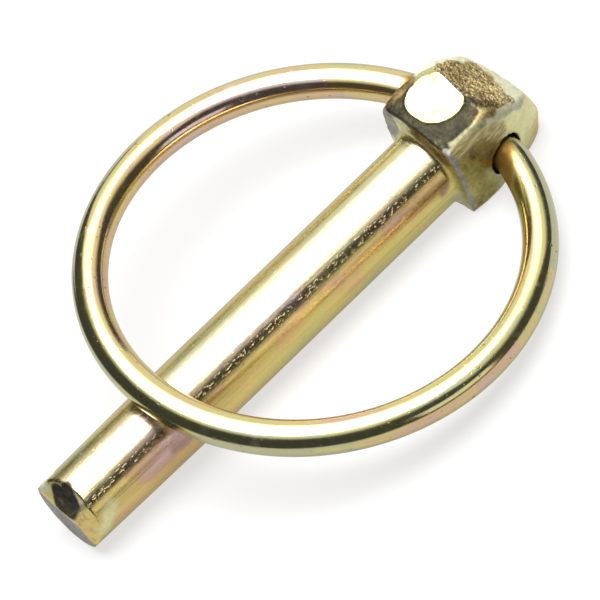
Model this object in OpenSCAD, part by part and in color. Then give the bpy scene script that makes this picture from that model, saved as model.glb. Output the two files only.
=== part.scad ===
// Linch pin: a forged pin with a round shank and a blunt block head, held in
// place by a wire ring that is hinged in the head and snaps over the shank.
// The shank lies along +X and its back is at the bottom. The origin is on the
// shank's axis, at the head's shoulder.

/* [Shank] */
// Diameter of the round shank
shank_d = 10; // [8:0.5:12]
// Length from the head's shoulder to the tip
shank_l = 60.4; // [52:0.2:75]
// Length over which the tip draws in, which starts just behind the closed ring
tip_taper_l = 18; // [4:0.5:30]
// How much the tip draws in on each side
tip_taper = 0.22; // [0.02:0.02:0.4]
// Radius of the rounded edge at the tip
tip_edge_r = 0.7; // [0.3:0.1:1.5]

/* [Head] */
// Length of the head from its shoulder to the top of its crown
head_l = 14.9; // [13.5:0.1:16]
// Distance of the right side face from the shank's axis
side_right = 6.75; // [6.3:0.05:7]
// Distance of the left side face from the shank's axis
side_left = 6.75; // [6.3:0.05:7.2]
// Height of the flat on the front face above the shank's axis
front_h = 7.98; // [7.4:0.05:8.4]
// Radius of the round flat pressed into the front face
flat_r = 3.7; // [2.5:0.1:4.4]
// Angle of the rough slope to the front flat
slope_angle = 35; // [20:1:50]

/* [Hinge] */
// Distance of the cross hole from the shoulder
hinge_x = 6.9; // [6:0.1:7.5]
// Diameter of the cross hole
hole_d = 5.1; // [4.9:0.1:5.6]
// Angle between the cross hole and the flat back
hole_skew = 8.4; // [0:0.2:12]

/* [Ring] */
// Diameter of the ring's wire
wire_d = 4.3; // [4:0.1:4.6]
// Radius of the ring to the middle of its wire
ring_r = 26.4; // [26:0.1:30]
// Distance from the hinge to the ring's centre
ring_reach = 25.5; // [23:0.1:25.9]
// Inside gap between the two wire ends
ends_gap = 1.6; // [0.5:0.1:4]
// Gap left between the closed ring and the shank
seat_gap = 0.06; // [0.02:0.02:0.2]

/* [Hidden] */
$fn = 96;
over = 1;
shank_r = shank_d / 2;
wire_r = wire_d / 2;
reach = 3 * head_l;

// Head: the round flat, which is askew to the back nearly as much as the hole.
flat_skew = 7.7;
flat_at = [-4.6, -1.3];
front_bulge_r = 20;

// Head: the bulges of the side faces and of the crown.
right_bulge_r = 23;
right_bulge_at = [-3.2, 1.3];
left_bulge_r = 25;
left_bulge_at = [-3, -0.4];
crown_r = 26;
crown_at = [0, -6];

// Head: the barrel and the ball that round its long edges and its crown.
barrel_at = [-3.1, -0.6, 1.5];
barrel_r = 8.3;
barrel_bend_r = 39;
ball_at = [-5, 0.1, 0.2];
ball_r = 10.1;

// Head: the rough slope, which starts askew at the edge of the flat.
slope_x = -7;
slope_turn = 7.6;

// Ring: the bend where each end turns from the hole into the ring.
bend_r = 8;
bend_y = sqrt(pow(ring_r - bend_r, 2) - pow(ring_reach - bend_r, 2));
bend_angle = atan2(bend_y, ring_reach - bend_r);
closed_angle = asin((shank_r + wire_r + seat_gap) / (ring_reach + ring_r));

// Ring: each piece runs this far into the next, and is this much thinner.
join_l = 0.3;
join_step = 0.02;
join_angle = join_l / bend_r * 180 / PI;

// Round shank, drawn in a little towards a tip with a rounded edge.
module shank() {
    tip_r = shank_r - tip_taper;
    edge = [tip_r - tip_edge_r, shank_l - tip_edge_r];
    rotate([0, 90, 0]) rotate_extrude() {
        polygon([
            [0, -over], [shank_r, -over], [shank_r, shank_l - tip_taper_l],
            [tip_r, edge[1]], [edge[0], edge[1]], [edge[0], shank_l], [0, shank_l]
        ]);
        intersection() {
            translate(edge) circle(tip_edge_r);
            translate(edge) square(tip_edge_r);
        }
    }
}

// The block that the head's other faces cut: flat back, flat front, shoulder.
module head_stock() {
    intersection() {
        translate([-reach, -reach, -shank_r]) cube([reach, 2 * reach, reach]);
        rotate([-flat_skew, 0, 0]) translate([-reach, -reach, front_h - reach])
            cube([reach + over, 2 * reach, reach]);
    }
}

// Everything behind the rough slope.
module slope_side() {
    rotate([-flat_skew, 0, 0]) translate([slope_x, 0, front_h]) rotate([0, -slope_angle, -slope_turn])
        translate([-reach, -reach, -2 * reach]) cube([2 * reach, 2 * reach, 2 * reach]);
}

// Ball whose cap is pressed flat to the given radius, below the front flat.
module front_bulge() {
    rotate([-flat_skew, 0, 0])
        translate([flat_at[0], flat_at[1], front_h - sqrt(pow(front_bulge_r, 2) - pow(flat_r, 2))])
            sphere(front_bulge_r);
}

// Body that narrows in a long arc to both ends, with its lower half squared.
module barrel() {
    translate(barrel_at) {
        rotate([0, 90, 0]) rotate_extrude() intersection() {
            translate([barrel_r - barrel_bend_r, 0]) circle(barrel_bend_r);
            translate([0, -head_l - over]) square([2 * barrel_r, 2 * head_l]);
        }
        translate([-reach, -reach, -reach]) cube([2 * reach, 2 * reach, reach]);
    }
}

// Blunt block: what its pressed, bulged, rounded and sloped faces enclose.
module head_block() {
    intersection() {
        head_stock();
        slope_side();
        front_bulge();
        translate([right_bulge_at[0], side_right - right_bulge_r, right_bulge_at[1]]) sphere(right_bulge_r);
        translate([left_bulge_at[0], left_bulge_r - side_left, left_bulge_at[1]]) sphere(left_bulge_r);
        translate([crown_r - head_l, crown_at[0], crown_at[1]]) sphere(crown_r);
        barrel();
        translate(ball_at) sphere(ball_r);
    }
}

module head() {
    difference() {
        head_block();
        translate([-hinge_x, 0, 0]) rotate([90 - hole_skew, 0, 0])
            cylinder(h = reach, d = hole_d, center = true);
    }
}

module pin() {
    color("goldenrod") {
        shank();
        head();
    }
}

module ring() {
    color("darkgoldenrod")
    translate([-hinge_x, 0, 0]) rotate([-hole_skew, 0, 0]) rotate([0, -closed_angle, 0])
        wire();
}

// The wire lies in the XY plane, with the hinge axis along Y. Each end turns
// through a bend into the hole, and stops short of the other end.
module wire() {
    translate([ring_reach, 0, 0]) rotate([0, 0, 180 + bend_angle])
        rotate_extrude(angle = 360 - 2 * bend_angle) translate([ring_r, 0]) circle(wire_r);
    for (turn = [0, 1]) mirror([0, turn, 0]) {
        translate([bend_r, bend_y, 0]) rotate([0, 0, 180 - bend_angle - join_angle])
            rotate_extrude(angle = bend_angle + join_angle)
                translate([bend_r, 0]) circle(wire_r - join_step);
        translate([0, ends_gap / 2, 0]) rotate([-90, 0, 0])
            cylinder(h = bend_y - ends_gap / 2 + join_l, r = wire_r - 2 * join_step);
    }
}

pin();
ring();
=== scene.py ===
import math

import bmesh
import bpy
import numpy as np
from mathutils import Matrix, Vector, noise


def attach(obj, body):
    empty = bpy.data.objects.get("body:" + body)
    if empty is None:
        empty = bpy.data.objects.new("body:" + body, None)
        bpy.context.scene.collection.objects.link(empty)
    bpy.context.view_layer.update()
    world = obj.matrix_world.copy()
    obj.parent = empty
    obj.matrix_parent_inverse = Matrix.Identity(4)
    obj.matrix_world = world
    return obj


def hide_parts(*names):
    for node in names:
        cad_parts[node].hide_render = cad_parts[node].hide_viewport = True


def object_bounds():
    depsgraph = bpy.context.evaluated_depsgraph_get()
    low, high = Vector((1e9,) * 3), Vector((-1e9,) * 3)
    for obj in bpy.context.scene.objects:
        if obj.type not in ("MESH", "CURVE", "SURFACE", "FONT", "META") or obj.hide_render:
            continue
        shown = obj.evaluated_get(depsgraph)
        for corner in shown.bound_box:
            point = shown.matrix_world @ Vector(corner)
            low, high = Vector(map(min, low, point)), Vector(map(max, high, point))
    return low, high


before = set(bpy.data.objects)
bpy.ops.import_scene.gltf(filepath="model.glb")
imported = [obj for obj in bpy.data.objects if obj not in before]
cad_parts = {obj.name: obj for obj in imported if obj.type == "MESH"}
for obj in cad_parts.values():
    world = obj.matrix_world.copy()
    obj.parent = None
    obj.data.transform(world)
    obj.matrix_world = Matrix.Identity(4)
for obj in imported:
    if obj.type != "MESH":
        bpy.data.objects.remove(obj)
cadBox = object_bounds()
mm = 0.001


def addObject(name, data):
    obj = bpy.data.objects.new(name, data)
    bpy.context.scene.collection.objects.link(obj)
    return obj


def meshFrom(bm, name, smooth=True):
    mesh = bpy.data.meshes.new(name)
    bm.to_mesh(mesh)
    bm.free()
    for face in mesh.polygons:
        face.use_smooth = smooth
    return mesh


def applyModifiers(obj):
    deps = bpy.context.evaluated_depsgraph_get()
    mesh = bpy.data.meshes.new_from_object(obj.evaluated_get(deps))
    obj.modifiers.clear()
    obj.data = mesh


cameraView = {
    "location": (0.201239, 0.466632, 0.549754),
    "rotation": (38.6586, 18.484, 137.4048),
    "lens": 382.0,
    "sensor": 36.0,
    "clip": (0.05, 20),
}


def makeCamera():
    data = bpy.data.cameras.new("camera")
    data.lens = cameraView["lens"]
    data.sensor_width = cameraView["sensor"]
    data.clip_start, data.clip_end = cameraView["clip"]
    camera = addObject("camera", data)
    camera.location = cameraView["location"]
    camera.rotation_euler = [math.radians(angle) for angle in cameraView["rotation"]]
    bpy.context.scene.camera = camera


makeCamera()
print("camera ready")


def addNode(tree, kind, inputs=None, **settings):
    node = tree.nodes.new(kind)
    for key, value in settings.items():
        setattr(node, key, value)
    for key, value in (inputs or {}).items():
        socket = node.inputs[key]
        if isinstance(value, bpy.types.NodeSocket):
            tree.links.new(value, socket)
        else:
            socket.default_value = value
    return node


def colourRamp(tree, value, stops):
    node = addNode(tree, "ShaderNodeValToRGB", {"Fac": value})
    ends = node.color_ramp.elements
    for place, colour in stops[1:-1]:
        ends.new(place)
    for element, (place, colour) in zip(ends, stops):
        element.position = place
        element.color = (*colour, 1)
    return node.outputs["Color"]


def span(tree, value, low, high, toLow=0.0, toHigh=1.0):
    node = addNode(tree, "ShaderNodeMapRange", {
        "Value": value, "From Min": low, "From Max": high, "To Min": toLow, "To Max": toHigh})
    return node.outputs["Result"]


def maths(tree, operation, one, two=0.0):
    node = addNode(tree, "ShaderNodeMath", {0: one, 1: two}, operation=operation)
    return node.outputs[0]


def blendColours(tree, factor, one, two):
    node = addNode(tree, "ShaderNodeMix", data_type="RGBA")
    for index, value in ((0, factor), (6, one), (7, two)):
        if isinstance(value, bpy.types.NodeSocket):
            tree.links.new(value, node.inputs[index])
        else:
            node.inputs[index].default_value = value if index == 0 else (*value, 1)
    return node.outputs[2]


def coat(tree, colour, mask, amount, paint):
    # Lays paint over a colour where the mask is, no thicker than the amount.
    return blendColours(tree, maths(tree, "MULTIPLY", mask, amount), colour, paint)


def noiseOf(tree, vector, detail, rough, distortion=0.0):
    node = addNode(tree, "ShaderNodeTexNoise", {
        "Vector": vector, "Scale": 1.0, "Detail": detail, "Roughness": rough,
        "Distortion": distortion})
    return node.outputs["Fac"]


def stretched(tree, vector, scale, turn=(0, 0, 0), shift=(0, 0, 0)):
    node = addNode(tree, "ShaderNodeMapping", {
        "Vector": vector, "Scale": scale, "Rotation": turn, "Location": shift})
    return node.outputs["Vector"]


def noiseLayers(tree, place, layers):
    # A noise for each name, from its scale, shift, detail and roughness.
    return {name: noiseOf(tree, stretched(tree, place, scale, shift=shift), detail, rough)
            for name, (scale, shift, detail, rough) in layers.items()}


studio = {
    "floorSize": 6.0,
    "floorDrop": 0.00002,
    "floorGrey": 0.34,
    "floorRough": 0.9,
    "floorGlow": 0.67,
    "glossyGlow": 0.36,
    "roomLight": 0.06,
    "middle": (0.018, 0.0, 0.0),
    "boxWay": (-0.03, -0.09, 1.0),
    "boxAim": (0.015, 0, 0),
    "boxFar": 0.80,
    "boxSize": 0.90,
    "boxPower": 10.2,
    "screenSteps": 48,
    "curtainFar": 0.60,
    "curtainGrey": 0.072,
    "curtainBlue": 0.95,
    "curtainFade": 14,
    "skirtFrom": 0.062,
    "skirtTo": 0.085,
    "skirtLift": 0.0003,
    "skirtIn": 0.9,
    "curtains": [
        # from and to round the part, low and high edge, and whether it runs in over the floor
        (-98, -70, 0, 54, False),
        (-70, 86, 0, 56, True),
        (86, 120, 20, 58, False),
        (86, 150, 0, 3, True),
        (120, 172, 0, 48, False),
        (172, 205, 0, 34, False),
        (-108, -98, 8, 26, False),
    ],
    # from and to round the part, low and high edge, brightness
    "card": (-178, -100, 43, 65, 2.5),
    # how much nearer than the curtains it hangs, and how much of it is at full strength
    "cardNear": 0.9,
    "cardFull": 0.55,
}


def studioMaterial():
    mat = bpy.data.materials.new("floorPaper")
    mat.use_nodes = True
    tree = mat.node_tree
    shader = tree.nodes["Principled BSDF"]
    grey = studio["floorGrey"]
    shader.inputs["Base Color"].default_value = (grey, grey, grey, 1)
    shader.inputs["Roughness"].default_value = studio["floorRough"]
    shader.inputs["Specular IOR Level"].default_value = 0.0
    path = addNode(tree, "ShaderNodeLightPath")
    seen = maths(tree, "MAXIMUM", path.outputs["Is Camera Ray"],
                 path.outputs["Is Transmission Ray"])
    glow = maths(tree, "MULTIPLY", seen, studio["floorGlow"])
    mirrored = maths(tree, "MULTIPLY", path.outputs["Is Glossy Ray"], studio["glossyGlow"])
    shader.inputs["Emission Color"].default_value = (1, 1, 1, 1)
    tree.links.new(maths(tree, "MAXIMUM", glow, mirrored), shader.inputs["Emission Strength"])
    return mat


def makeFloor():
    bm = bmesh.new()
    level = Matrix.Translation((0, 0, cadBox[0][2] - studio["floorDrop"]))
    bmesh.ops.create_grid(bm, x_segments=1, y_segments=1, size=studio["floorSize"] / 2,
                          matrix=level)
    floor = addObject("floor", meshFrom(bm, "floor", smooth=False))
    floor.data.materials.append(studioMaterial())


def makeWorld():
    world = bpy.data.worlds.new("room")
    bpy.context.scene.world = world
    world.use_nodes = True
    tree = world.node_tree
    tree.nodes.clear()
    path = addNode(tree, "ShaderNodeLightPath")
    seen = maths(tree, "MAXIMUM", path.outputs["Is Camera Ray"], path.outputs["Is Glossy Ray"])
    seen = maths(tree, "MAXIMUM", seen, path.outputs["Is Transmission Ray"])
    strength = span(tree, seen, 0, 1, studio["roomLight"], 1.0)
    back = addNode(tree, "ShaderNodeBackground", {"Color": (1, 1, 1, 1), "Strength": strength})
    out = addNode(tree, "ShaderNodeOutputWorld")
    tree.links.new(back.outputs[0], out.inputs["Surface"])


def makeSoftbox():
    data = bpy.data.lights.new("softbox", "AREA")
    data.shape = "DISK"
    data.size = studio["boxSize"]
    data.energy = studio["boxPower"]
    box = addObject("softbox", data)
    box.location = Vector(studio["boxWay"]).normalized() * studio["boxFar"]
    way = Vector(studio["boxAim"]) - box.location
    box.rotation_euler = way.to_track_quat("-Z", "Y").to_euler()


def screenMaterial(name):
    # A new material, with each place's x and y on the screen, how far out it is and how high.
    mat = bpy.data.materials.new(name)
    mat.use_nodes = True
    tree = mat.node_tree
    tree.nodes.clear()
    place = addNode(tree, "ShaderNodeTexCoord").outputs["Object"]
    split = addNode(tree, "ShaderNodeSeparateXYZ", {0: place})
    x, y, z = split.outputs["X"], split.outputs["Y"], split.outputs["Z"]
    level = addNode(tree, "ShaderNodeCombineXYZ", {0: x, 1: y}).outputs[0]
    away = addNode(tree, "ShaderNodeVectorMath", {0: level}, operation="LENGTH").outputs["Value"]
    return mat, tree, {"x": x, "y": y, "away": away, "rise": maths(tree, "ARCTAN2", z, away)}


def fadeOut(tree, colour, strength, clearness):
    glow = addNode(tree, "ShaderNodeEmission", {"Color": (*colour, 1), "Strength": strength})
    clear = addNode(tree, "ShaderNodeBsdfTransparent")
    fade = addNode(tree, "ShaderNodeMixShader", {0: clearness})
    tree.links.new(glow.outputs[0], fade.inputs[1])
    tree.links.new(clear.outputs[0], fade.inputs[2])
    out = addNode(tree, "ShaderNodeOutputMaterial")
    tree.links.new(fade.outputs[0], out.inputs["Surface"])


def curtainMaterial(name, low, high):
    # Dark cloth that fades out softly at its top and, over the floor, near the part.
    mat, tree, where = screenMaterial(name)
    top = math.radians(high)
    fade = math.radians(min(studio["curtainFade"], high - low))
    clearTop = span(tree, where["rise"], top - fade, top)
    clearNear = span(tree, where["away"], studio["skirtFrom"], studio["skirtTo"], 1.0, 0.0)
    grey = studio["curtainGrey"]
    clear = maths(tree, "MAXIMUM", clearTop, clearNear)
    fadeOut(tree, (grey, grey, grey * studio["curtainBlue"]), 1.0, clear)
    return mat


def cardMaterial(name, start, end, low, high, bright):
    # A white card that fades out softly at all four edges.
    mat, tree, where = screenMaterial(name)
    around = maths(tree, "ARCTAN2", where["y"], where["x"])
    clear = 0.0
    for value, first, last in ((around, start, end), (where["rise"], low, high)):
        middle, half = math.radians((first + last) / 2), math.radians((last - first) / 2)
        off = maths(tree, "ABSOLUTE", maths(tree, "SUBTRACT", value, middle))
        clear = maths(tree, "MAXIMUM", clear, span(tree, off, half * studio["cardFull"], half))
    fadeOut(tree, (1, 1, 1), bright, clear)
    return mat


def makeScreen(name, start, end, profile, mat):
    # A screen round the part that only shiny surfaces see.
    bm = bmesh.new()
    verts = [bm.verts.new((x, 0, z)) for x, z in profile]
    edges = [bm.edges.new(pair) for pair in zip(verts, verts[1:])]
    bmesh.ops.spin(bm, geom=verts + edges, cent=(0, 0, 0), axis=(0, 0, 1),
                   angle=math.radians(end - start), steps=studio["screenSteps"],
                   use_merge=False, use_duplicate=False)
    bmesh.ops.rotate(bm, cent=(0, 0, 0), verts=bm.verts,
                     matrix=Matrix.Rotation(math.radians(start), 3, "Z"))
    screen = addObject(name, meshFrom(bm, name))
    screen.location = studio["middle"]
    screen.data.materials.append(mat)
    screen.visible_camera = False
    screen.visible_shadow = False
    screen.visible_diffuse = False


def makeCurtains():
    far = studio["curtainFar"]
    ground = cadBox[0][2] + studio["skirtLift"]
    for index, (start, end, low, high, skirt) in enumerate(studio["curtains"]):
        name = "curtain%d" % index
        profile = [(far, max(far * math.tan(math.radians(low)), ground)),
                   (far, far * math.tan(math.radians(high)))]
        if skirt:
            profile.insert(0, (studio["skirtFrom"] * studio["skirtIn"], ground))
        makeScreen(name, start, end, profile, curtainMaterial(name, low, high))


def makeCard():
    far = studio["curtainFar"] * studio["cardNear"]
    start, end, low, high, bright = studio["card"]
    profile = [(far, far * math.tan(math.radians(rise))) for rise in (low, high)]
    makeScreen("card", start, end, profile, cardMaterial("card", start, end, low, high, bright))


makeFloor()
makeWorld()
makeSoftbox()
makeCurtains()
makeCard()
bpy.context.scene.view_settings.view_transform = "Standard"
print("studio ready")


# Passivated zinc: gold that drifts to yellow-green, pink and pale silver.
platingFilm = {
    "detail": 4.0, "rough": 0.55, "swirl": 0.6,
    "stops": [
        (0.22, (0.55, 0.54, 0.28)),
        (0.34, (0.66, 0.60, 0.22)),
        (0.44, (0.75, 0.60, 0.20)),
        (0.52, (0.77, 0.55, 0.22)),
        (0.60, (0.73, 0.46, 0.28)),
        (0.68, (0.69, 0.48, 0.46)),
        (0.80, (0.78, 0.71, 0.58)),
    ],
}


def makePlatingGroup():
    group = bpy.data.node_groups.new("platingTint", "ShaderNodeTree")
    face = group.interface
    face.new_socket("Vector", in_out="INPUT", socket_type="NodeSocketVector")
    face.new_socket("Drift", in_out="INPUT", socket_type="NodeSocketFloat")
    face.new_socket("Color", in_out="OUTPUT", socket_type="NodeSocketColor")
    enter = group.nodes.new("NodeGroupInput")
    leave = group.nodes.new("NodeGroupOutput")
    film = noiseOf(group, enter.outputs["Vector"], platingFilm["detail"], platingFilm["rough"],
                   platingFilm["swirl"])
    film = maths(group, "ADD", film, enter.outputs["Drift"])
    group.links.new(colourRamp(group, film, platingFilm["stops"]), leave.inputs["Color"])
    return group


# A painted place whose soft edge is broken up by noise: where its edge lies, and the least
# paint that shows.
markEdge = {"middle": 0.5, "least": 0.12}


def makeMarkGroup():
    group = bpy.data.node_groups.new("brokenMark", "ShaderNodeTree")
    face = group.interface
    for name in ("Place", "Noise", "Break", "Edge"):
        face.new_socket(name, in_out="INPUT", socket_type="NodeSocketFloat")
    face.new_socket("Mask", in_out="OUTPUT", socket_type="NodeSocketFloat")
    enter = group.nodes.new("NodeGroupInput")
    leave = group.nodes.new("NodeGroupOutput")
    place, edge = enter.outputs["Place"], enter.outputs["Edge"]
    centred = maths(group, "SUBTRACT", enter.outputs["Noise"], 0.5)
    pushed = maths(group, "ADD", place, maths(group, "MULTIPLY", centred, enter.outputs["Break"]))
    low = maths(group, "SUBTRACT", markEdge["middle"], edge)
    high = maths(group, "ADD", markEdge["middle"], edge)
    # nothing shows where the place isn't painted at all
    inside = span(group, place, 0.0, markEdge["least"])
    mask = maths(group, "MULTIPLY", span(group, pushed, low, high), inside)
    group.links.new(mask, leave.inputs["Mask"])
    return group


platingTint = makePlatingGroup()
brokenMark = makeMarkGroup()


def placeGroup(tree, group, inputs):
    return addNode(tree, "ShaderNodeGroup", inputs, node_tree=group)


def startMaterial(name, dullShine):
    mat = bpy.data.materials.new(name)
    mat.use_nodes = True
    tree = mat.node_tree
    shader = tree.nodes["Principled BSDF"]
    shader.inputs["Metallic"].default_value = 1.0
    shader.inputs["Specular IOR Level"].default_value = dullShine
    place = addNode(tree, "ShaderNodeTexCoord").outputs["Object"]
    return mat, tree, shader, place


def joinShader(tree, shader, colour, metal, rough, height, look):
    tree.links.new(colour, shader.inputs["Base Color"])
    tree.links.new(metal, shader.inputs["Metallic"])
    tree.links.new(rough, shader.inputs["Roughness"])
    bump = addNode(tree, "ShaderNodeBump", {
        "Height": height, "Strength": look["bumpStrength"], "Distance": look["bumpDepth"]})
    tree.links.new(bump.outputs["Normal"], shader.inputs["Normal"])


def markValue(tree, name):
    return addNode(tree, "ShaderNodeAttribute", attribute_name=name).outputs["Fac"]


def mixFloat(tree, factor, one, two):
    return addNode(tree, "ShaderNodeMix", {0: factor, 2: one, 3: two}, data_type="FLOAT").outputs[0]


wireLook = {
    "filmScale": (70, 70, 70), "dullShine": 0.12,
    "bumpDepth": 0.00003, "bumpStrength": 0.6, "grain": 0.22,
    # how far the film drifts round the outside of the ring, and from where to where in mm
    "rim": -0.32, "rimFrom": 0.2, "rimTo": 1.8,
    "blush": 0.15,
    # where on a noise each starts and is full, and what it goes from and to if not 0 and 1
    "cloudDrift": (0.35, 0.65, -0.12, 0.05), "blushBroken": (0.34, 0.58, 0.4, 1.0),
    "roughSpan": (0.3, 0.7, 0.10, 0.20), "scuffSpan": (0.60, 0.68), "pitSpan": (0.68, 0.74),
    # colours, and how thick each lies
    "dust": (0.66, 0.63, 0.50), "scuff": (0.66, 0.62, 0.48), "pit": (0.10, 0.08, 0.04),
    "dustThick": 0.22, "scuffThick": 0.35, "pitThick": 0.7, "scuffRough": 0.12,
    # browner, rougher and less metallic where the wire goes into the head's hole
    "holeBrown": (0.26, 0.125, 0.012), "holeBrownThick": 0.9, "holeBrownRough": 0.14, "holeBrownMetal": 0.6,
    "holeBrownBreak": 0.7, "holeBrownEdge": 0.45,
    # scale, shift, detail and roughness
    "noises": {
        "cloud": ((38, 38, 38), (5, 3, 2), 2.0, 0.5),
        "blush": ((120, 120, 120), (2, 7, 4), 3.0, 0.6),
        "specks": ((1400, 1400, 1400), (0, 0, 0), 4.0, 0.6),
        "blotch": ((230, 230, 230), (0, 0, 0), 4.0, 0.65),
        "pits": ((1700, 1700, 1700), (0, 0, 0), 2.0, 0.5),
    },
}


def wireFilm(tree, place, noises):
    # The film is greener round the outside of the ring and pinker where it is painted so.
    look = wireLook
    middle = ringPlace() @ Vector((wireRing["reach"] * mm, 0, 0))
    out = addNode(tree, "ShaderNodeVectorMath", {0: place, 1: middle}, operation="DISTANCE")
    rimFrom, rimTo = wireRing["ringR"] + look["rimFrom"], wireRing["ringR"] + look["rimTo"]
    rim = span(tree, out.outputs["Value"], rimFrom * mm, rimTo * mm, 0.0, look["rim"])
    broken = span(tree, noises["blush"], *look["blushBroken"])
    blush = maths(tree, "MULTIPLY", broken, markValue(tree, "blush"))
    drift = maths(tree, "ADD", span(tree, noises["cloud"], *look["cloudDrift"]),
                  mixFloat(tree, blush, rim, look["blush"]))
    return placeGroup(tree, platingTint, {
        "Vector": stretched(tree, place, look["filmScale"]), "Drift": drift}).outputs["Color"]


def wireMaterial():
    look = wireLook
    mat, tree, shader, place = startMaterial("wirePlating", look["dullShine"])
    noises = noiseLayers(tree, place, look["noises"])
    scuff = span(tree, noises["blotch"], *look["scuffSpan"])
    pits = span(tree, noises["pits"], *look["pitSpan"])
    holeBrown = placeGroup(tree, brokenMark, {
        "Place": markValue(tree, "holeBrown"), "Noise": noises["blotch"],
        "Break": look["holeBrownBreak"], "Edge": look["holeBrownEdge"]}).outputs["Mask"]
    colour = blendColours(tree, look["dustThick"], wireFilm(tree, place, noises), look["dust"])
    colour = coat(tree, colour, scuff, look["scuffThick"], look["scuff"])
    colour = coat(tree, colour, pits, look["pitThick"], look["pit"])
    colour = coat(tree, colour, holeBrown, look["holeBrownThick"], look["holeBrown"])
    rough = span(tree, noises["specks"], *look["roughSpan"])
    rough = maths(tree, "ADD", rough, maths(tree, "MULTIPLY", holeBrown, look["holeBrownRough"]))
    rough = maths(tree, "ADD", rough, maths(tree, "MULTIPLY", scuff, look["scuffRough"]))
    metal = span(tree, holeBrown, 0, 1, 1.0, look["holeBrownMetal"])
    grain = maths(tree, "MULTIPLY", noises["specks"], look["grain"])
    joinShader(tree, shader, colour, metal, rough, maths(tree, "SUBTRACT", grain, pits), look)
    return mat


pinLook = {
    "filmScale": (70, 170, 170), "dullShine": 0.12,
    "bumpDepth": 0.00005, "bumpStrength": 0.6, "specks": 0.30, "drawn": 0.75, "crumbs": 0.4,
    "headDrift": -0.09, "pinkDrift": 0.11,
    # where each starts and is full, and what it goes from and to if not 0 and 1; the first two
    # are places along the shank in m, and the rest are places on a noise or a mark
    "shankSpan": (0.0, 0.001), "rootDrift": (0.004, 0.018, -0.08, 0.0),
    "cloudDrift": (0.3, 0.7, -0.05, 0.05), "drawnDrift": (0.3, 0.7, -0.06, 0.06),
    "roughSpan": (0.3, 0.7, 0.17, 0.31), "lineSpan": (0.50, 0.72, 0.0, 0.45),
    "mottleSpan": (0.38, 0.62), "creviceShadeSpan": (0.2, 0.9, 0.0, 0.7), "flatSpan": (0.3, 0.7),
    "scratchSpan": (0.52, 0.58), "patchSpan": (0.44, 0.56, 0.0, 0.9),
    "seamPits": (0.57, 0.64), "loosePits": (0.70, 0.76, 0.0, 0.5), "darkLineBroken": (0.42, 0.56),
    # how much coarse and how much crumbly noise makes the mottled finishes
    "mottle": (0.6, 0.4),
    # the first colour is the paler silver of the painted highlight along the shank's top, the last
    # the painted shade of the relief's low places
    "highlightSilver": (0.66, 0.61, 0.50), "lines": (0.24, 0.20, 0.085), "deep": (0.05, 0.032, 0.012),
    "flat": (0.74, 0.70, 0.50), "flatPatch": (0.50, 0.46, 0.10), "flatRough": 0.2,
    "scratch": (0.13, 0.12, 0.04), "scratchScale": (380, 5200, 1), "scratchTurn": 35,
    # a line of pits and a second, broken dark line: angle round the shank, colour, how wide and how
    # thick
    "seamAt": 47, "seam": (0.15, 0.13, 0.085), "seamWide": (0.04, 0.12), "seamThick": 0.6,
    "darkLineAt": 71, "darkLine": (0.26, 0.19, 0.07), "darkLineWide": (0.0, 0.035), "darkLineThick": 0.6,
    # places once round the shank, with the film's drift there: greener left, pinker right
    "driftRound": [(0.0, 0.44), (0.36, 0.38), (0.45, 0.37), (0.55, 0.45), (0.61, 0.50),
                   (0.67, 0.49), (0.71, 0.48), (0.85, 0.46), (1.0, 0.44)],
    # and how much paler silver is painted along the top, where the highlight falls: a painted
    # highlight
    "highlightRound": [(0.0, 0.0), (0.455, 0.0), (0.485, 0.5), (0.615, 0.5), (0.645, 0.0),
                  (1.0, 0.0)],
    # scale, shift, detail and roughness
    "noises": {
        "drawn": ((22, 1500, 1500), (0, 0, 0), 3.0, 0.6),
        "cloud": ((60, 110, 110), (3, 1, 0), 2.0, 0.5),
        "specks": ((500, 1500, 1500), (0, 0, 0), 5.0, 0.6),
        "blotch": ((560, 560, 560), (0, 0, 0), 5.0, 0.66),
        "patches": ((330, 330, 330), (5, 2, 9), 4.0, 0.6),
        "crumbs": ((2100, 2100, 2100), (0, 0, 0), 3.0, 0.6),
        "brushed": ((380, 3200, 3200), (0, 0, 0), 3.0, 0.6),
        "pits": ((1700, 3000, 3000), (0, 0, 0), 2.0, 0.5),
    },
    # dark and light colour, how metallic, roughness, how broken and how soft the edge is
    "finishes": {
        # an olive tint, painted darker as shade on the right face
        "oliveAndShade": ((0.33, 0.285, 0.08), (0.70, 0.62, 0.21), 0.40, 0.36, 0.8, 0.45),
        "yellow": ((0.72, 0.68, 0.30), (0.88, 0.84, 0.48), 0.95, 0.34, 0.6, 0.45),
        "pale": ((0.66, 0.64, 0.42), (0.94, 0.92, 0.68), 0.15, 0.44, 1.1, 0.36),
        "dusty": ((0.24, 0.23, 0.12), (0.54, 0.51, 0.31), 0.30, 0.42, 1.0, 0.40),
        "fillet": ((0.36, 0.285, 0.11), (0.76, 0.67, 0.34), 0.40, 0.38, 0.7, 0.45),
        "tan": ((0.18, 0.13, 0.05), (0.50, 0.40, 0.18), 0.50, 0.40, 1.0, 0.40),
        "slope": ((0.22, 0.16, 0.06), (0.62, 0.49, 0.24), 0.35, 0.44, 1.5, 0.30),
        "scale": ((0.009, 0.010, 0.010), (0.088, 0.079, 0.040), 0.22, 0.42, 1.3, 0.38),
        "violet": ((0.48, 0.28, 0.22), (0.60, 0.38, 0.32), 0.90, 0.32, 0.6, 0.45),
        # brown smears, and the painted shadow on the shoulder
        "brownAndShadow": ((0.06, 0.036, 0.014), (0.38, 0.28, 0.11), 0.35, 0.40, 1.0, 0.45),
        # bare steel at the tip and the shoulder's edge, and a painted reflection on the shoulder's
        # left part
        "bareAndSheen": ((0.30, 0.29, 0.245), (0.60, 0.58, 0.51), 0.35, 0.42, 1.2, 0.38),
    },
}


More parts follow.
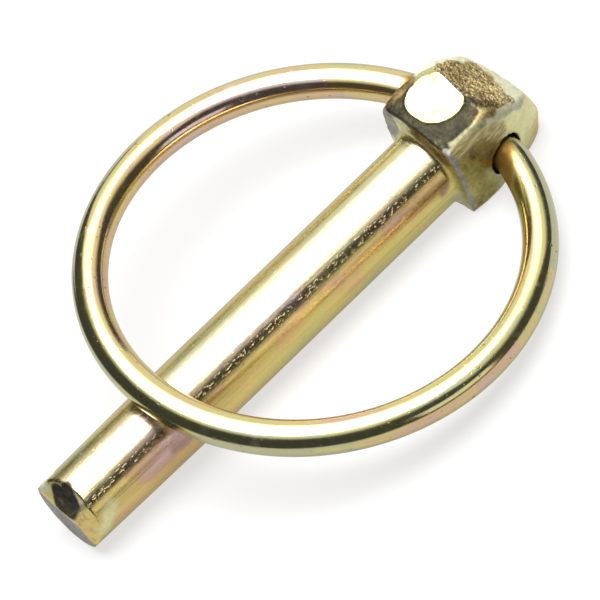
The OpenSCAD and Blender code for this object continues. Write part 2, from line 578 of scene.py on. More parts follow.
def roundShank(tree, turn, stops):
    return colourRamp(tree, turn, [(place, (value,) * 3) for place, value in stops])


def lineAlong(tree, around, angle, widths, strength=1.0):
    # A line along the shank at an angle round it, fading out between two widths.
    off = maths(tree, "ABSOLUTE", maths(tree, "SUBTRACT", around, math.radians(angle)))
    return span(tree, off, *widths, strength, 0.0)


def pinFilm(tree, place, noises, along, turn, onShank):
    look = pinLook
    drift = maths(tree, "SUBTRACT", roundShank(tree, turn, look["driftRound"]), 0.5)
    drift = mixFloat(tree, onShank, look["headDrift"], drift)
    pink = maths(tree, "MULTIPLY", markValue(tree, "pink"), look["pinkDrift"])
    for part in (span(tree, noises["cloud"], *look["cloudDrift"]),
                 span(tree, along, *look["rootDrift"]),
                 pink,
                 span(tree, noises["drawn"], *look["drawnDrift"])):
        drift = maths(tree, "ADD", drift, part)
    tint = placeGroup(tree, platingTint, {
        "Vector": stretched(tree, place, look["filmScale"]), "Drift": drift}).outputs["Color"]
    # painted highlight: the film is paler silver along the top of the shank, where the highlight
    # lies
    colour = coat(tree, tint, roundShank(tree, turn, look["highlightRound"]), onShank, look["highlightSilver"])
    lines = span(tree, noises["drawn"], *look["lineSpan"])
    return blendColours(tree, lines, colour, look["lines"])


def pinFlat(tree, place, noises):
    # The flat pressed into the front is bright, with a few slanting scratches.
    look = pinLook
    turn = (0, 0, math.radians(look["scratchTurn"]))
    lines = noiseOf(tree, stretched(tree, place, look["scratchScale"], turn=turn), 2.0, 0.5)
    lines = span(tree, lines, *look["scratchSpan"])
    patch = span(tree, noises["patches"], *look["patchSpan"])
    colour = blendColours(tree, patch, look["flat"], look["flatPatch"])
    scratched = maths(tree, "MULTIPLY", lines, markValue(tree, "scratch"))
    return blendColours(tree, scratched, colour, look["scratch"])


def pinMaterial():
    look = pinLook
    mat, tree, shader, place = startMaterial("pinPlating", look["dullShine"])
    noises = noiseLayers(tree, place, look["noises"])
    split = addNode(tree, "ShaderNodeSeparateXYZ", {0: place})
    around = maths(tree, "ARCTAN2", split.outputs["Y"], split.outputs["Z"])
    turn = span(tree, around, -math.pi, math.pi)
    onShank = span(tree, split.outputs["X"], *look["shankSpan"])
    colour = pinFilm(tree, place, noises, split.outputs["X"], turn, onShank)
    rough = span(tree, noises["specks"], *look["roughSpan"])
    metal = 1.0
    coarse, crumbly = look["mottle"]
    mottled = maths(tree, "ADD", maths(tree, "MULTIPLY", noises["patches"], coarse),
                    maths(tree, "MULTIPLY", noises["crumbs"], crumbly))
    for name, (dark, light, metallic, roughness, broken, edge) in look["finishes"].items():
        mask = placeGroup(tree, brokenMark, {
            "Place": markValue(tree, name), "Noise": noises["blotch"],
            "Break": broken, "Edge": edge}).outputs["Mask"]
        grain = noises["brushed"] if name == "fillet" else mottled
        shade = blendColours(tree, span(tree, grain, *look["mottleSpan"]), dark, light)
        colour = blendColours(tree, mask, colour, shade)
        rough = mixFloat(tree, mask, rough, roughness)
        metal = mixFloat(tree, mask, metal, metallic)
    # painted shade: the low places of the slope's ridges and of the scale's pits are darkened
    deep = span(tree, markValue(tree, "depth"), *look["creviceShadeSpan"])
    colour = blendColours(tree, deep, colour, look["deep"])
    land = span(tree, markValue(tree, "land"), *look["flatSpan"])
    colour = blendColours(tree, land, colour, pinFlat(tree, place, noises))
    rough = mixFloat(tree, land, rough, look["flatRough"])
    metal = mixFloat(tree, land, metal, 1.0)
    # a dark line of pits runs along the shank, and beside it a second, broken dark line
    seam = lineAlong(tree, around, look["seamAt"], look["seamWide"])
    seam = maths(tree, "MULTIPLY", seam, onShank)
    colour = coat(tree, colour, seam, look["seamThick"], look["seam"])
    darkLine = lineAlong(tree, around, look["darkLineAt"], look["darkLineWide"], look["darkLineThick"])
    darkLine = maths(tree, "MULTIPLY", darkLine, span(tree, noises["cloud"], *look["darkLineBroken"]))
    colour = coat(tree, colour, darkLine, onShank, look["darkLine"])
    seamPits = maths(tree, "MULTIPLY", span(tree, noises["pits"], *look["seamPits"]), seam)
    loosePits = span(tree, noises["pits"], *look["loosePits"])
    height = maths(tree, "ADD", maths(tree, "MULTIPLY", noises["specks"], look["specks"]),
                   maths(tree, "MULTIPLY", noises["drawn"], look["drawn"]))
    height = maths(tree, "SUBTRACT", height, maths(tree, "ADD", seamPits, loosePits))
    height = maths(tree, "ADD", height, maths(tree, "MULTIPLY", noises["crumbs"], look["crumbs"]))
    joinShader(tree, shader, colour, metal, rough, height, look)
    return mat


wireRing = {
    "wireR": 2.15, "ringR": 26.4, "reach": 25.5, "bendR": 8.0, "endsGap": 1.6,
    "hingeX": -6.9, "skew": 8.4, "seatHeight": 7.21,
    "round": 48, "ringSteps": 300, "bendSteps": 24, "endBevel": 0.4, "endSteps": 3,
}


# Places on the wire in mm, each a line of points with a radius and a soft edge.
wireMarks = {
    # browner, rougher and less metallic where the wire goes into the head's hole, on both sides of
    # the head
    "holeBrown": [
        ([(-5.4, 6.4, 0.5), (-5.1, 7.9, 0.2), (-4.3, 9.2, -0.6)], 1.0, 1.3),
        ([(-6.8, 6.2, 1.2), (-6.4, 7.2, 1.0)], 0.5, 1.2),
        ([(-6.6, -6.2, 3.0), (-6.2, -8.0, 3.2)], 0.9, 1.4),
    ],
    "blush": [
        ([(28.0, 27.3, 1.2), (18.3, 28.8, -0.2), (8.6, 26.8, -1.0)], 0.4, 1.3),
        ([(34.0, 24.5, 2.4), (28.0, 27.3, 1.2)], -0.2, 1.3),
        ([(8.6, 26.8, -1.0), (2.5, 23.4, -1.1)], -0.2, 1.3),
        ([(38.0, 21.3, 3.5), (34.0, 24.5, 2.4)], -0.6, 1.3),
        ([(0.7, -17.0, 5.2), (5.8, -20.8, 6.5), (11.7, -23.2, 7.7), (18.1, -24.0, 8.8)], 0.2, 1.3),
    ],
}


def ringPlace():
    rise = math.asin(wireRing["seatHeight"] / (wireRing["reach"] + wireRing["ringR"]))
    return (Matrix.Translation((wireRing["hingeX"] * mm, 0, 0))
            @ Matrix.Rotation(-math.radians(wireRing["skew"]), 4, "X")
            @ Matrix.Rotation(-rise, 4, "Y"))


def coordsOf(mesh):
    flat = np.empty(len(mesh.vertices) * 3)
    mesh.vertices.foreach_get("co", flat)
    return flat.reshape(-1, 3) / mm


def nearLine(places, line, radius, soft):
    # 1 within the radius of a line of points, fading to 0 over the soft edge.
    best = np.full(len(places), 1e9)
    points = np.array(line)
    for a, b in zip(points[:-1], points[1:]):
        run = b - a
        t = np.clip((places - a) @ run / (run @ run), 0, 1)
        best = np.minimum(best, np.linalg.norm(places - (a + t[:, None] * run), axis=1))
    t = np.clip((radius + soft - best) / soft, 0, 1)
    return t * t * (3 - 2 * t)


def markOf(places, marks):
    return np.max([nearLine(places, line, radius, soft) for line, radius, soft in marks], axis=0)


def addLayer(mesh, name, values):
    layer = mesh.attributes.new(name, "FLOAT", "POINT")
    layer.data.foreach_set("value", values.astype(np.float32))


def pushOn(bm, edges, far):
    # Draws a loop of edges straight on along Y.
    made = bmesh.ops.extrude_edge_only(bm, edges=edges)["geom"]
    verts = [v for v in made if isinstance(v, bmesh.types.BMVert)]
    bmesh.ops.translate(bm, vec=(0, far, 0), verts=verts)
    return [v for v in made if not isinstance(v, bmesh.types.BMFace)]


def sortFaces(bm):
    # An extrude leaves its faces in another order each time it runs.
    bm.verts.index_update()
    count = len(bm.verts)

    def order(face):
        corners = [v.index for v in face.verts]
        return min(corners) * count + max(corners)

    bm.faces.sort(key=order)
    bm.faces.index_update()


def sweepOn(bm, loop, centre, angle, steps):
    made = bmesh.ops.spin(bm, geom=loop, cent=centre, axis=(0, 0, 1), angle=angle,
                          steps=steps, use_merge=False, use_duplicate=False)
    return made["geom_last"]


def makeRing():
    r, big, reach = wireRing["wireR"] * mm, wireRing["ringR"] * mm, wireRing["reach"] * mm
    bend, gap = wireRing["bendR"] * mm, wireRing["endsGap"] * mm / 2
    bendY = math.sqrt((big - bend) ** 2 - (reach - bend) ** 2)
    bendAngle = math.atan2(bendY, reach - bend)
    bm = bmesh.new()
    turnIn = Matrix.Translation((0, gap, 0)) @ Matrix.Rotation(math.radians(90), 4, "X")
    bmesh.ops.create_circle(bm, cap_ends=False, radius=r, segments=wireRing["round"],
                            matrix=turnIn)
    loop = pushOn(bm, bm.edges[:], bendY - gap)
    loop = sweepOn(bm, loop, (bend, bendY, 0), -bendAngle, wireRing["bendSteps"])
    loop = sweepOn(bm, loop, (reach, 0, 0), -(2 * math.pi - 2 * bendAngle), wireRing["ringSteps"])
    loop = sweepOn(bm, loop, (bend, -bendY, 0), -bendAngle, wireRing["bendSteps"])
    pushOn(bm, [e for e in loop if isinstance(e, bmesh.types.BMEdge)], bendY - gap)
    bmesh.ops.remove_doubles(bm, verts=bm.verts, dist=1e-7)
    ends = [e for e in bm.edges if e.is_boundary]
    caps = bmesh.ops.holes_fill(bm, edges=ends, sides=0)["faces"]
    rims = [e for f in caps for e in f.edges]
    bmesh.ops.bevel(bm, geom=rims, offset=wireRing["endBevel"] * mm, offset_type="OFFSET",
                    segments=wireRing["endSteps"], profile=0.5, affect="EDGES", material=-1)
    bmesh.ops.transform(bm, matrix=ringPlace(), verts=bm.verts)
    bmesh.ops.recalc_face_normals(bm, faces=bm.faces)
    sortFaces(bm)
    ring = addObject("wireRing", meshFrom(bm, "wireRing"))
    for name, marks in wireMarks.items():
        addLayer(ring.data, name, markOf(coordsOf(ring.data), marks))
    ring.data.materials.append(wireMaterial())
    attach(ring, "ring")
    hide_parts("ring")
    return ring


ring = makeRing()
print("ring ready", len(ring.data.polygons))


pinShape = {
    "voxel": 0.216, "shankR": 5.0, "taperFrom": 42.4, "tip": 60.4, "taper": 0.22,
    "rootR": 1.0, "rootInside": 4.4, "rootBack": 0.6, "rootFront": 0.3, "rootSunk": 0.02,
    "rootSteps": 10, "rootRound": 128,
    "endR": 4.78, "endFrom": 56.0, "endShort": 0.03, "endRound": 96,
    # rounds of smoothing: the whole head, the end, and then the head's long edges
    "headTo": 0.6, "headRounds": 5, "endSoftFrom": 57, "endRounds": 2, "softRounds": 14,
    # the last keeps off the shoulder, the flat back and the cross hole
    "softShoulder": -0.3, "softBack": -4.2, "holeClear": 3.0,
    # how near the shank's true surface the skin has to be to be drawn on to it, from how far
    # out, and how far behind the shoulder that starts and short of the tip it stops
    "snapShank": 0.15, "snapRoot": 0.3, "snapFrom": 4.0, "snapEnds": 0.1,
    # the end is sheared: its upper half and its right side slope back from two lines
    "shears": [((60.4, 0.0, 0.4), (0.912, 0.144, 0.374)),
               ((60.4, 2.03, 0.0), (0.87, 0.43, 0.23))],
    # where the end's own face is, and how soft the edge of its shears is
    "endFace": (60.1, 60.3), "shearEdge": (0.0, 0.12),
    # place, radius and height of the burrs, and how sharply they rise
    "burrs": [((-12.9, -3.0, 5.3), 0.5, 0.34), ((-12.3, -3.5, 5.7), 0.5, 0.16),
              ((60.2, -3.6, 3.0), 0.5, 0.26)],
    "burrRise": 1.5,
    # how far inside the solid's box the finished pin stays
    "boxGap": 0.001,
}

# The flat pressed into the head's front, the dip round it and the slope behind it.
flatLand = {
    "centre": (-4.6, -1.3, 7.98), "skew": 7.7, "slopeX": -7.05, "slopeTurn": 7.6,
    "rimFrom": 3.45, "rimTo": 3.6, "drop": 0.13, "dipTo": 3.95, "dipFade": (4.4, 6.5),
    # how far below the flat it and its dip reach, how they start at the slope's line, and how
    # far past the shoulder the dip goes
    "flatDeep": 0.4, "dipDeep": 1.6, "flatLine": (-0.02, 0.12), "dipLine": (-0.2, 0.1),
    "dipShoulder": 0.2,
    # what stays crisp: down and out from the flat, and near, across and above the slope's line
    "crispDeep": 0.6, "crispOut": 4.1, "lineNear": 0.8, "lineWide": 4.6, "lineUp": 7,
    # smaller faces: how near the rim, how deep, how near it in the pitted scale, and how far
    # out, deep and near the slope's line the flat's own coarse middle goes
    "fineRim": 0.45, "fineDeep": 0.5, "finePitted": 0.4, "coarse": (3.1, 0.3, 0.3),
    # height, count and phase of the waves that make the rim uneven
    "waves": [(0.07, 3, 0.6), (0.05, 5, 2.0), (0.02, 11, 0.0)],
}

# Relief in mm. A noise is a pitch and a height.
pinRelief = {
    # the seed keeps the ridges the same in every run, as their warp is random without it
    "seed": 1, "worm": (1.9, 1.5, 1.7), "wormWarp": (1.1, 0.55), "wormNarrow": 3.2,
    "wormHigh": 0.13, "fine": [(4.3, 0.6), (8.1, 0.5)], "fineHigh": 0.12,
    "pit": [(2.1, 0.7), (6.3, 0.7)], "pitHigh": 0.05,
    "swell": [(0.8, 0.045), (2.2, 0.014)], "burr": (2.8, 0.07),
    # how dark the low places are painted as shade, from how deep they are: at most, less for each
    # ridge and less for fine grain
    "wormDepth": (0.72, 1.3, 1.5), "pitDepth": (0.35, 1.2), "pitDark": 0.7,
    # the head and the end that have relief, and the flat back below which there is none
    "headTo": 1.2, "endFrom": 54, "back": -4.9,
    # the least of a mark that counts, and what counts for smaller faces
    "least": 0.01, "fineSlope": 0.02, "fineScale": 0.05, "fineCuts": 2,
    # how the relief fades out from the head to the shank, and in again at the end
    "headFade": (0.35, 0.0), "endFade": (58.0, 59.0),
}

# Places on the pin in mm, each a line of points with a radius and a soft edge.
pinMarks = {
    "slope": [
        ([(-8.1, -2.6, 8.0), (-8.0, 1.6, 7.2), (-8.4, 4.0, 6.4)], 1.0, 0.35),
        ([(-9.6, -2.5, 6.9), (-9.6, 0.6, 6.3), (-9.6, 2.7, 5.8)], 1.1, 0.6),
        ([(-11.2, -1.7, 5.8), (-11.0, 0.4, 5.3), (-10.5, 2.2, 5.1)], 0.5, 1.5),
        ([(-7.4, 4.2, 6.9), (-8.9, 4.9, 5.9)], 0.5, 0.5),
        ([(-9.4, 4.4, 5.4), (-10.8, 4.6, 4.2)], 0.1, 1.1),
    ],
    "scale": [
        ([(-3.4, -4.2, 8.5), (-2.0, -3.3, 8.4), (-0.9, -1.9, 8.2), (-0.4, 0.2, 7.9),
          (-0.7, 1.8, 7.6), (-1.5, 3.3, 7.3), (-3.0, 4.2, 7.1), (-4.6, 4.4, 7.1),
          (-5.8, 4.1, 7.2)], 0.95, 0.45),
        ([(-0.5, -4.6, 7.8), (-0.2, -1.4, 8.2), (-0.2, 1.6, 7.6), (-0.3, 3.4, 7.0)], 0.55, 0.35),
        ([(-6.6, 2.7, 7.65), (-6.9, 3.5, 7.35), (-7.2, 4.3, 7.0)], 0.3, 0.5),
        ([(58.9, 0.6, 4.15), (59.6, 1.5, 2.6), (60.2, 0.9, 1.3), (60.2, -0.6, 1.6),
          (59.5, -0.9, 3.4)], 0.75, 0.6),
        ([(59.4, 0.2, 2.9), (59.8, 0.6, 2.0)], 0.8, 0.5),
        ([(-0.3, 3.2, 7.0), (-0.4, 4.3, 6.7), (-0.6, 4.85, 6.5)], 0.45, 0.45),
        ([(-0.7, 4.3, 6.9), (-2.1, 4.6, 6.9), (-3.2, 4.7, 6.95)], 0.4, 0.6),
    ],
    "fillet": [
        ([(-1.8, 6.4, 5.4), (-3.8, 6.35, 5.2), (-5.6, 6.3, 4.4), (-7.2, 6.3, 3.3)], 0.7, 0.9),
    ],
    "brownAndShadow": [
        ([(-0.9, -4.9, 7.8), (-2.4, -4.7, 8.2), (-4.4, -4.7, 8.45)], 0.7, 0.5),
        ([(-3.2, 6.5, 3.9), (-4.2, 6.55, 3.2), (-4.9, 6.5, 2.4)], 0.55, 1.0),
        ([(-7.4, 4.4, 6.8), (-8.8, 4.7, 5.9)], 0.2, 0.9),
        # painted shadow: a dark band on the shoulder, above the fillet
        ([(0.0, 0.2, 6.5), (0.0, 1.9, 6.1), (0.0, 3.4, 5.3), (0.0, 4.7, 4.2)], 0.45, 0.75),
    ],
    "tan": [
        ([(-5.6, 5.2, 6.9), (-6.6, 5.45, 6.55), (-7.7, 5.5, 5.9)], 0.4, 0.5),
        ([(-2.4, 4.7, 7.0), (-4.4, 4.95, 6.95), (-6.4, 5.0, 6.85)], 0.4, 0.5),
    ],
    "pale": [
        ([(-4.4, -5.3, 8.35), (-6.2, -5.1, 8.4), (-8.3, -4.3, 8.1)], 0.5, 0.4),
        ([(-8.6, -4.5, 7.9), (-10.6, -4.3, 6.6), (-12.2, -3.2, 5.4), (-13.0, -1.0, 4.6),
          (-12.9, 1.2, 4.0), (-12.4, 3.2, 3.6), (-11.6, 4.8, 3.4)], 0.85, 0.7),
        ([(-5.8, 6.0, 6.1), (-7.4, 6.0, 5.4), (-9.0, 5.8, 4.6), (-10.4, 5.4, 3.9)], 0.4, 0.6),
        ([(60.2, -3.3, 3.0), (58.6, -3.2, 3.4)], 0.5, 0.6),
    ],
    "dusty": [
        ([(-0.5, 5.2, 6.2), (-1.5, 5.5, 6.5), (-3.0, 5.6, 6.6), (-4.4, 5.8, 6.5),
          (-5.8, 6.0, 6.1)], 0.32, 0.5),
    ],
    "yellow": [
        ([(-11.2, 5.0, 1.6), (-12.6, 4.6, -0.4), (-13.6, 3.4, 0.8), (-13.6, 1.0, 2.4)], 1.3, 1.0),
        ([(-9.6, 5.6, 2.8), (-10.8, 5.3, 1.0)], 0.9, 0.9),
        ([(-7.6, 6.2, 4.2), (-8.8, 6.0, 3.0)], 0.5, 1.0),
        ([(-10.4, 5.8, 1.0), (-10.8, 5.7, -2.0)], 1.1, 0.9),
        ([(56.6, 4.75, 1.4), (57.6, 4.6, 0.4), (58.6, 4.5, -0.8)], 0.2, 1.5),
    ],
    "scratch": [
        ([(-7.0, -1.6, 8.2), (-6.2, -2.6, 8.3), (-4.9, -3.3, 8.4)], 0.7, 0.8),
        ([(-2.6, -3.5, 8.4), (-2.0, -2.9, 8.3)], 0.2, 0.4),
    ],
    "pink": [
        ([(19.0, 4.7, 1.6), (29.0, 4.7, 1.7)], 0.2, 1.5),
        ([(20.0, 2.2, 4.5), (28.0, 2.2, 4.5)], 0.1, 1.3),
        ([(45.0, 4.85, 1.2), (51.0, 4.75, 1.3)], 0.1, 1.9),
        ([(1.4, 2.9, 4.1), (3.2, 2.7, 4.2)], 0.3, 0.9),
    ],
    "violet": [
        ([(1.6, 4.88, 1.05), (2.1, 4.93, 0.7)], 0.0, 1.0),
        ([(44.6, 4.9, 0.9), (46.4, 4.85, 1.1)], 0.0, 1.2),
    ],
    "oliveAndShade": [
        # partly painted shade: an olive tint on the right face by the shoulder, darkened for the
        # shaded floor it mirrors
        ([(-0.6, 6.5, 3.6), (-1.0, 6.6, 1.2), (-1.2, 6.5, -1.6), (-2.2, 6.5, -3.6)], 1.1, 1.6),
    ],
    "bareAndSheen": [
        ([(-0.3, 5.3, 6.1), (-0.25, 6.15, 5.2), (-0.2, 6.45, 3.6)], 0.3, 0.35),
        ([(-0.2, 6.45, 3.6), (-0.15, 6.5, 0.0), (-0.1, 6.2, -2.8), (-0.1, 5.9, -4.9)], 0.16, 0.35),
        # painted reflection: the left part of the shoulder is painted pale grey
        ([(0.0, -5.4, 6.4), (0.0, -4.4, 6.6), (0.0, -4.3, 5.0), (0.0, -5.8, 3.0)], 0.75, 0.6),
    ],
}


def shankRadius(x):
    # Radius of the shank at x in mm, tapering towards its tip.
    run = pinShape["tip"] - pinShape["taperFrom"]
    part = min(max((x - pinShape["taperFrom"]) / run, 0.0), 1.0)
    return pinShape["shankR"] - pinShape["taper"] * part


def makeRoot(bm):
    # Fillet between the shank and the head's shoulder, spun round the shank's axis.
    p = pinShape
    r, fillet, steps, inside = p["shankR"], p["rootR"], p["rootSteps"], p["rootInside"]
    points = [(-p["rootBack"], inside), (-p["rootBack"], r + fillet)]
    points += [(fillet * (1 - math.cos(a)), r + fillet * (1 - math.sin(a)))
               for a in [math.pi / 2 * i / steps for i in range(steps + 1)]]
    front = fillet + p["rootFront"]
    points += [(front, r - p["rootSunk"]), (front, inside)]
    verts = [bm.verts.new((x * mm, 0, y * mm)) for x, y in points]
    edges = [bm.edges.new(pair) for pair in zip(verts, verts[1:] + verts[:1])]
    bmesh.ops.spin(bm, geom=verts + edges, cent=(0, 0, 0), axis=(1, 0, 0), angle=2 * math.pi,
                   steps=p["rootRound"], use_merge=True, use_duplicate=False)
    bmesh.ops.remove_doubles(bm, verts=bm.verts, dist=1e-7)
    bmesh.ops.recalc_face_normals(bm, faces=bm.faces)


def cutAway(bm, place, normal):
    geom = bm.verts[:] + bm.edges[:] + bm.faces[:]
    cut = bmesh.ops.bisect_plane(bm, geom=geom, dist=1e-8, plane_co=place, plane_no=normal,
                                 clear_outer=True)
    return [e for e in cut["geom_cut"] if isinstance(e, bmesh.types.BMEdge)]


def shearEnd(bm):
    for place, normal in pinShape["shears"]:
        rim = cutAway(bm, [c * mm for c in place], normal)
        bmesh.ops.holes_fill(bm, edges=rim, sides=0)


def makeEnd(bm):
    # The last of the shank, whose edge is sharper where it isn't sheared.
    p = pinShape
    start, end, r = p["endFrom"] * mm, (p["tip"] - p["endShort"]) * mm, p["endR"] * mm
    turn = Matrix.Rotation(math.radians(90), 4, "Y")
    turn = Matrix.Translation(((start + end) / 2, 0, 0)) @ turn
    bmesh.ops.create_cone(bm, cap_ends=True, cap_tris=False, segments=p["endRound"], radius1=r,
                          radius2=r, depth=end - start, matrix=turn)
    shearEnd(bm)


def makeBlank():
    # The solid pin with its fillet and sheared end, as one even skin.
    bm = bmesh.new()
    bm.from_mesh(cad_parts["pin"].data)
    bmesh.ops.remove_doubles(bm, verts=bm.verts, dist=1e-6)
    shearEnd(bm)
    for makePiece in (makeRoot, makeEnd):
        piece = bmesh.new()
        makePiece(piece)
        bm.from_mesh(meshFrom(piece, "piece"))
    blank = addObject("pinForging", meshFrom(bm, "pinForging"))
    remesh = blank.modifiers.new("remesh", "REMESH")
    remesh.mode = "VOXEL"
    remesh.voxel_size = pinShape["voxel"] * mm
    applyModifiers(blank)
    return blank


def snapShank(verts):
    # Draws the skin on to the true surface of the shank and its fillet.
    p = pinShape
    fillet, big = p["rootR"], p["shankR"] + p["rootR"]
    for v in verts:
        x, r = v.co.x / mm, math.hypot(v.co.y, v.co.z) / mm
        if r < p["snapFrom"] or x < -p["snapEnds"] or x > p["tip"] - p["snapEnds"]:
            continue
        if x < fillet:
            away = math.hypot(x - fillet, r - p["shankR"] - fillet)
            if r >= big or abs(away - fillet) >= p["snapRoot"]:
                continue
            # nearest place on the fillet's arc
            x = fillet + (x - fillet) * fillet / away
            want = big + (r - p["shankR"] - fillet) * fillet / away
        elif abs(r - shankRadius(x)) < p["snapShank"]:
            want = shankRadius(x)
        else:
            continue
        v.co = (x * mm, v.co.y * want / r, v.co.z * want / r)


def onFlat(places):
    # Distance from the flat's centre in its own plane, height above it, and how far it is
    # in front of the line where the slope starts.
    skew = math.radians(flatLand["skew"])
    y = places[:, 1] * math.cos(skew) - places[:, 2] * math.sin(skew)
    z = places[:, 1] * math.sin(skew) + places[:, 2] * math.cos(skew)
    x = places[:, 0]
    middle = flatLand["centre"]
    away = np.hypot(x - middle[0], y - middle[1])
    beyond = x - flatLand["slopeX"] - y * math.tan(math.radians(flatLand["slopeTurn"]))
    turn = np.arctan2(y - middle[1], x - middle[0])
    for high, count, phase in flatLand["waves"]:
        away = away + high * np.sin(count * turn + phase)
    return away, z - middle[2], beyond


def smooth(value, low, high):
    t = np.clip((value - low) / (high - low), 0, 1)
    return t * t * (3 - 2 * t)


def smoothVerts(bm, verts, rounds):
    for _ in range(rounds):
        bmesh.ops.smooth_vert(bm, verts=verts, factor=0.5, use_axis_x=True, use_axis_y=True,
                              use_axis_z=True)


def soften(bm):
    # All edges a little, then the head's long edges and its crown much more.
    p = pinShape
    head = [v for v in bm.verts if v.co.x < p["headTo"] * mm]
    end = [v for v in bm.verts if v.co.x > p["endSoftFrom"] * mm]
    smoothVerts(bm, head, p["headRounds"])
    smoothVerts(bm, end, p["endRounds"])
    bm.verts.ensure_lookup_table()
    places = np.array([v.co for v in bm.verts]) / mm
    away, height, beyond = onFlat(places)
    # the flat and the line where the slope meets it stay crisp, and so does the hole
    x, y, z = places.T
    crisp = (height > -flatLand["crispDeep"]) & (away < flatLand["crispOut"])
    line = (np.abs(beyond) < flatLand["lineNear"]) & (np.abs(y) < flatLand["lineWide"])
    crisp |= line & (z > flatLand["lineUp"])
    tilt = math.tan(math.radians(wireRing["skew"]))
    hole = np.hypot(x - wireRing["hingeX"], z + y * tilt) < p["holeClear"]
    loose = (x < p["softShoulder"]) & (z > p["softBack"]) & ~crisp & ~hole
    smoothVerts(bm, [bm.verts[i] for i in np.nonzero(loose)[0]], p["softRounds"])


def wormNoise(place):
    # Short wiggling ridges, 1 on their crests and 0 in between.
    (x, y, z), (pitch, far) = pinRelief["worm"], pinRelief["wormWarp"]
    warp = noise.noise_vector(place * pitch) * far
    spot = Vector((place.x * x, place.y * y, place.z * z)) + warp
    return 1 - min(abs(noise.noise(spot)) * pinRelief["wormNarrow"], 1.0)


def noiseSum(place, noises):
    (pitch, high), (pitchToo, highToo) = noises
    return high * noise.noise(place * pitch) + highToo * noise.noise(place * pitchToo)


def roughen(places, land, lift):
    # Adds the worm-like slope, the pitted scale and the uneven forging, and gives how deep its low
    # places are, for the shade painted there.
    relief = pinRelief
    noise.seed_set(relief["seed"])
    slope, scale, bareAndSheen = (markOf(places, pinMarks[name]) for name in ("slope", "scale", "bareAndSheen"))
    scale *= 1 - land
    slope *= 1 - land
    depth = np.zeros(len(places))
    head = places[:, 0] < relief["headTo"]
    rough = (head | (places[:, 0] > relief["endFrom"])) & (places[:, 2] > relief["back"])
    burrPitch, burrHigh = relief["burr"]
    wormMost, wormRidge, wormFine = relief["wormDepth"]
    pitMost, pitLess = relief["pitDepth"]
    for i in np.nonzero(rough)[0]:
        place = Vector(places[i])
        if slope[i] > relief["least"]:
            ridge = wormNoise(place)
            fine = noiseSum(place, relief["fine"])
            lift[i] += slope[i] * (relief["wormHigh"] * (ridge - 0.5) + relief["fineHigh"] * fine)
            depth[i] = slope[i] * min(max(wormMost - wormRidge * ridge - wormFine * fine, 0), 1)
        if scale[i] > relief["least"]:
            pit = noiseSum(place, relief["pit"])
            lift[i] += scale[i] * relief["pitHigh"] * pit
            dark = scale[i] * relief["pitDark"] * min(max(pitMost - pitLess * pit, 0), 1)
            depth[i] = max(depth[i], dark)
        if head[i]:
            burr = bareAndSheen[i] * burrHigh * noise.noise(place * burrPitch)
            lift[i] += (1 - land[i]) * (noiseSum(place, relief["swell"]) + burr)
    return depth


def levelFlat(moved, land):
    flat = np.nonzero(land > 0.5)[0]
    _, height, _ = onFlat(moved[flat])
    skew = math.radians(flatLand["skew"])
    moved[flat, 1] -= height * math.sin(skew)
    moved[flat, 2] -= height * math.cos(skew)


def paintPin(mesh, places, land, depth):
    # What the shears left of the end's own face is bare steel.
    end = smooth(places[:, 0], *pinShape["endFace"])
    for place, normal in pinShape["shears"]:
        end *= smooth((np.array(place) - places) @ np.array(normal), *pinShape["shearEdge"])
    for name, marks in pinMarks.items():
        values = markOf(places, marks)
        if name in ("scale", "slope", "brownAndShadow"):
            values *= 1 - land
        values = np.maximum(values, end) if name == "bareAndSheen" else values * (1 - end)
        addLayer(mesh, name, values)
    addLayer(mesh, "depth", depth)
    addLayer(mesh, "land", land)


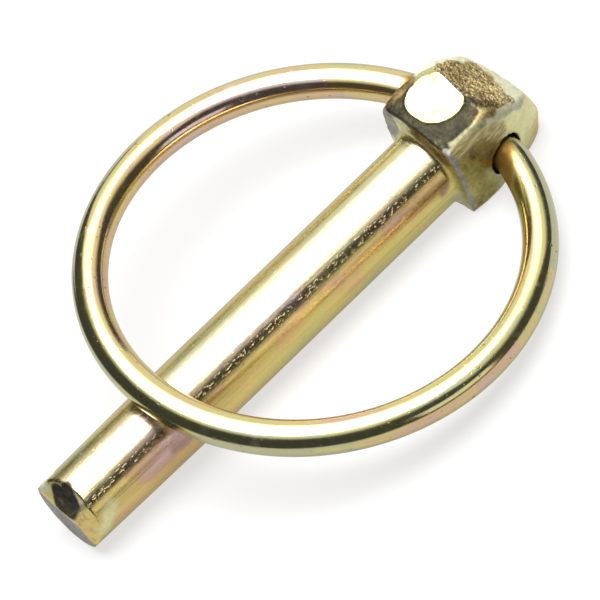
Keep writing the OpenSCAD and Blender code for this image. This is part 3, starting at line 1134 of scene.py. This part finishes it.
def carve(mesh):
    # Fine relief along the normals, then the marks for the finishes.
    places = coordsOf(mesh)
    away, height, beyond = onFlat(places)
    flat = flatLand
    land = (1 - smooth(away, flat["rimFrom"], flat["rimTo"])) * smooth(beyond, *flat["flatLine"])
    land = land * (height > -flat["flatDeep"])
    dip = smooth(away, flat["rimFrom"], flat["dipTo"]) * (1 - smooth(away, *flat["dipFade"]))
    dip = dip * smooth(beyond, *flat["dipLine"])
    lift = np.zeros(len(places))
    lift -= flat["drop"] * dip * (height > -flat["dipDeep"]) * (places[:, 0] < flat["dipShoulder"])
    depth = roughen(places, land, lift)
    for place, radius, high in pinShape["burrs"]:
        near = np.clip(1 - np.linalg.norm(places - np.array(place), axis=1) / radius, 0, 1)
        lift += high * near ** pinShape["burrRise"]
    normals = np.empty(len(places) * 3)
    mesh.vertices.foreach_get("normal", normals)
    free = smooth(places[:, 0], *pinRelief["headFade"])
    free = free + smooth(places[:, 0], *pinRelief["endFade"])
    moved = places + normals.reshape(-1, 3) * (lift * free)[:, None]
    levelFlat(moved, land)
    low, high = np.array(cadBox[0]) / mm, np.array(cadBox[1]) / mm
    moved = np.clip(moved, low + pinShape["boxGap"], high - pinShape["boxGap"])
    mesh.vertices.foreach_set("co", (moved * mm).ravel())
    paintPin(mesh, places, land, depth)


def refine(bm):
    # Smaller faces on the slope and at the flat's rim, where the relief is finest.
    bm.faces.ensure_lookup_table()
    places = np.array([f.calc_center_median() for f in bm.faces]) / mm
    away, height, beyond = onFlat(places)
    offRim = np.abs(away - flatLand["rimTo"])
    fine = markOf(places, pinMarks["slope"]) > pinRelief["fineSlope"]
    fine |= (offRim < flatLand["fineRim"]) & (height > -flatLand["fineDeep"])
    out, deep, line = flatLand["coarse"]
    fine &= ~((away < out) & (height > -deep) & (beyond > line))
    pitted = markOf(places, pinMarks["scale"]) >= pinRelief["fineScale"]
    fine &= ~pitted | (offRim < flatLand["finePitted"])
    bm.edges.index_update()
    chosen = {e.index for i in np.nonzero(fine)[0] for e in bm.faces[i].edges}
    edges = [e for e in bm.edges if e.index in chosen]
    bmesh.ops.subdivide_edges(bm, edges=edges, cuts=pinRelief["fineCuts"], use_grid_fill=True,
                              smooth=0)


def makePin():
    pin = makeBlank()
    print("pin remeshed", len(pin.data.polygons))
    bm = bmesh.new()
    bm.from_mesh(pin.data)
    soften(bm)
    snapShank(bm.verts)
    refine(bm)
    bmesh.ops.recalc_face_normals(bm, faces=bm.faces)
    pin.data = meshFrom(bm, "pinForging")
    carve(pin.data)
    print("pin carved", len(pin.data.polygons))
    pin.data.materials.append(pinMaterial())
    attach(pin, "pin")
    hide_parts("pin")
    return pin


pin = makePin()
print("pin ready", len(pin.data.polygons))
